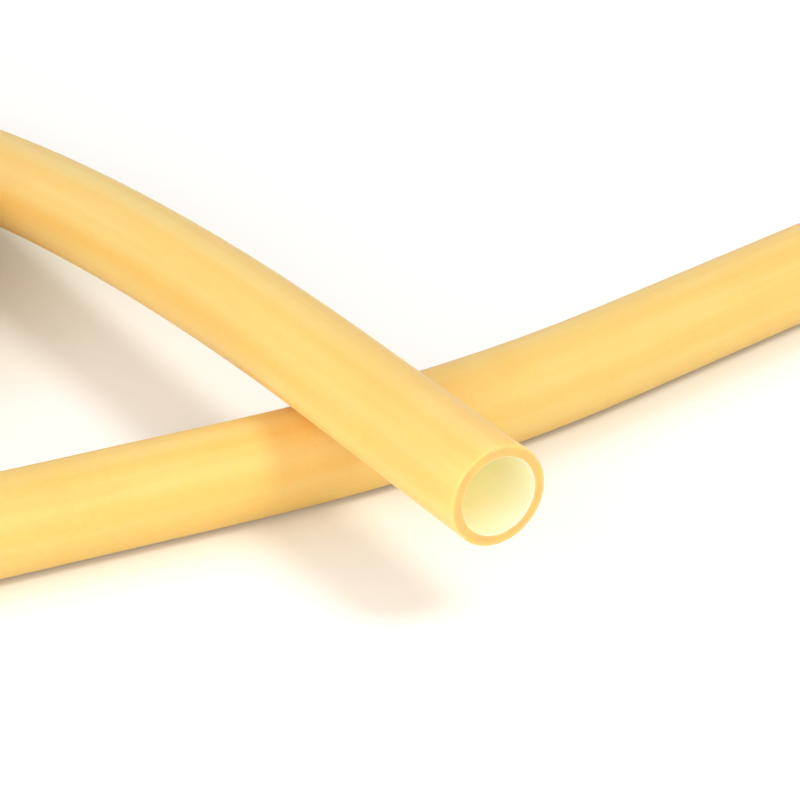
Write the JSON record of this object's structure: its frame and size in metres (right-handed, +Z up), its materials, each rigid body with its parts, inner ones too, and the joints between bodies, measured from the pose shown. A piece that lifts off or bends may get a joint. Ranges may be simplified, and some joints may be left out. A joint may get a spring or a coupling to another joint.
{
  "type": "rubber tubing coil",
  "caption": "Amber latex rubber laboratory tubing with square-cut ends, lying in a loose flat coil with one tail crossing over the other.",
  "frame": {"origin": "middle of the coil's footprint, on the bench that it lies on", "axes": "+X along the longest side of the footprint, from the coil towards the tails; +Y away from the viewer; +Z up from the bench"},
  "size_m": [0.2355, 0.1414, 0.0216],
  "materials": {
    "amber_rubber": "satin, translucent, faintly dusted"
  },
  "bodies": {
    "root": {"tube": "amber_rubber"}
  },
  "joints": []
}
